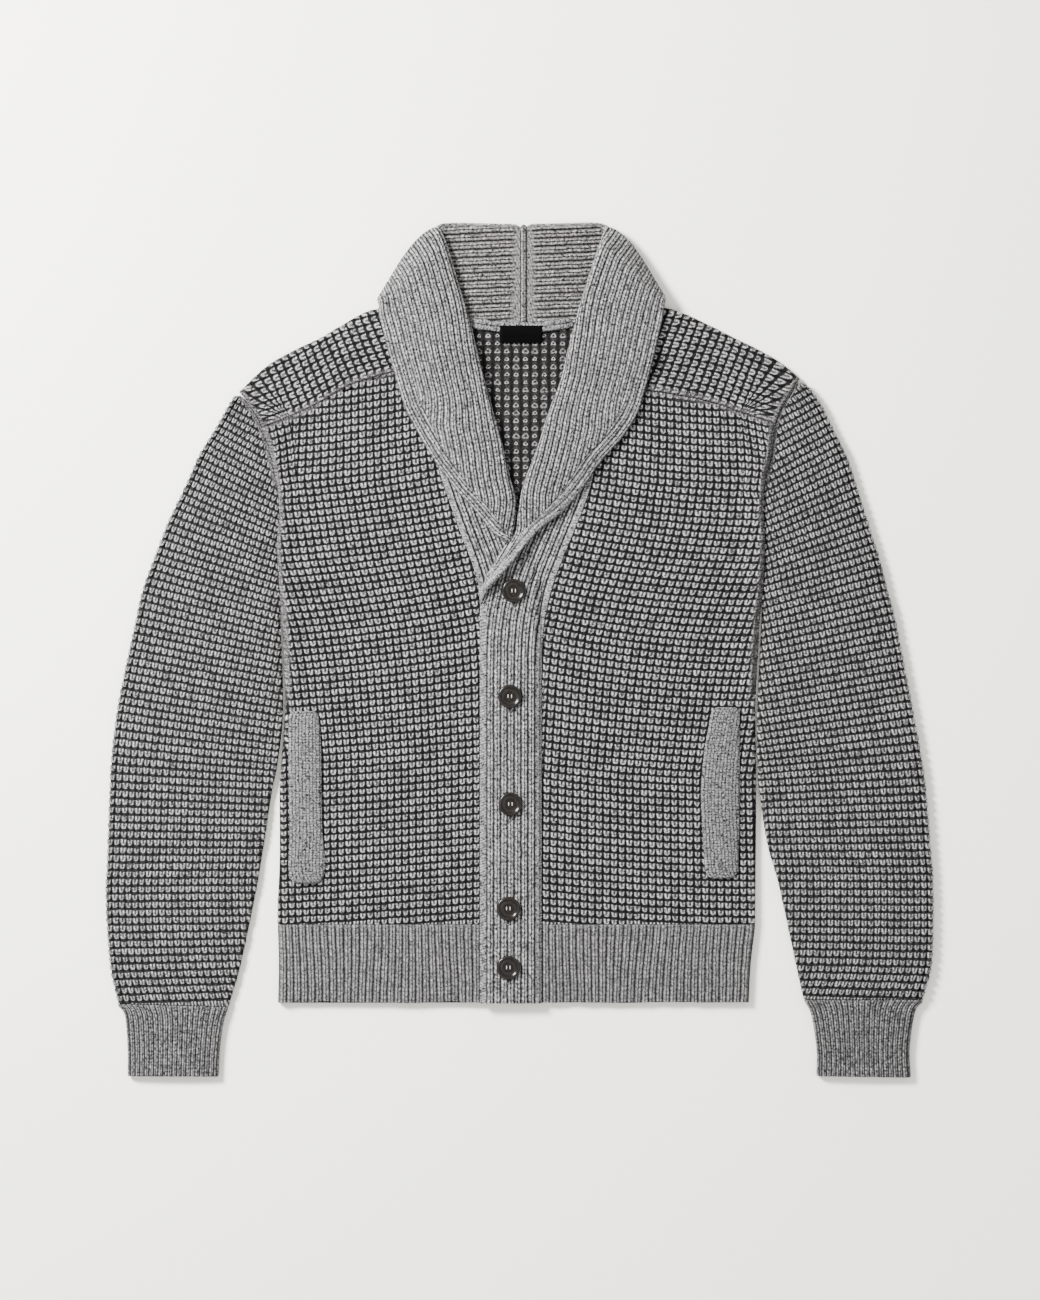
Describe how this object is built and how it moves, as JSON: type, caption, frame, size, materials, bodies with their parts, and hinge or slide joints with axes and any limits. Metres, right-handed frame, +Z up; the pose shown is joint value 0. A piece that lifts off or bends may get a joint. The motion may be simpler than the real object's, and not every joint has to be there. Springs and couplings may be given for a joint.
{
  "type": "shawl collar cardigan",
  "caption": "Long-sleeved knitted cardigan with a ribbed shawl collar, button front, welt pockets, rib hem and cuffs, laid flat and buttoned.",
  "frame": {"origin": "middle of the garment's outline, on the surface that it lies on", "axes": "+X toward the viewer's right, +Y toward the collar, +Z up out of the front"},
  "size_m": [0.7871, 0.8066, 0.0177],
  "materials": {
    "waffle_knit": "two-colour tuck knit, light heads on a dark ground",
    "rib_knit": "marled rib knit",
    "linked_knit": "fine linked knit",
    "label_fabric": "woven black label, bare",
    "horn_button": "polished, horn look"
  },
  "bodies": {
    "root": {"back_panel": "waffle_knit", "front_left": "waffle_knit", "front_right": "waffle_knit", "saddle_left": "waffle_knit", "saddle_right": "waffle_knit", "sleeve_left": "waffle_knit", "sleeve_right": "waffle_knit", "cuff_left": "rib_knit", "cuff_right": "rib_knit", "hem_back": "rib_knit", "hem_front_left": "rib_knit", "hem_front_right": "rib_knit", "band_left": "rib_knit", "band_right": "rib_knit", "collar_back_seam": "linked_knit", "neck_binding": "linked_knit", "neck_label": "label_fabric", "pocket_welt_left": "linked_knit", "pocket_welt_right": "linked_knit", "button_1": "horn_button", "button_2": "horn_button", "button_3": "horn_button", "button_4": "horn_button", "button_5": "horn_button"}
  },
  "joints": []
}
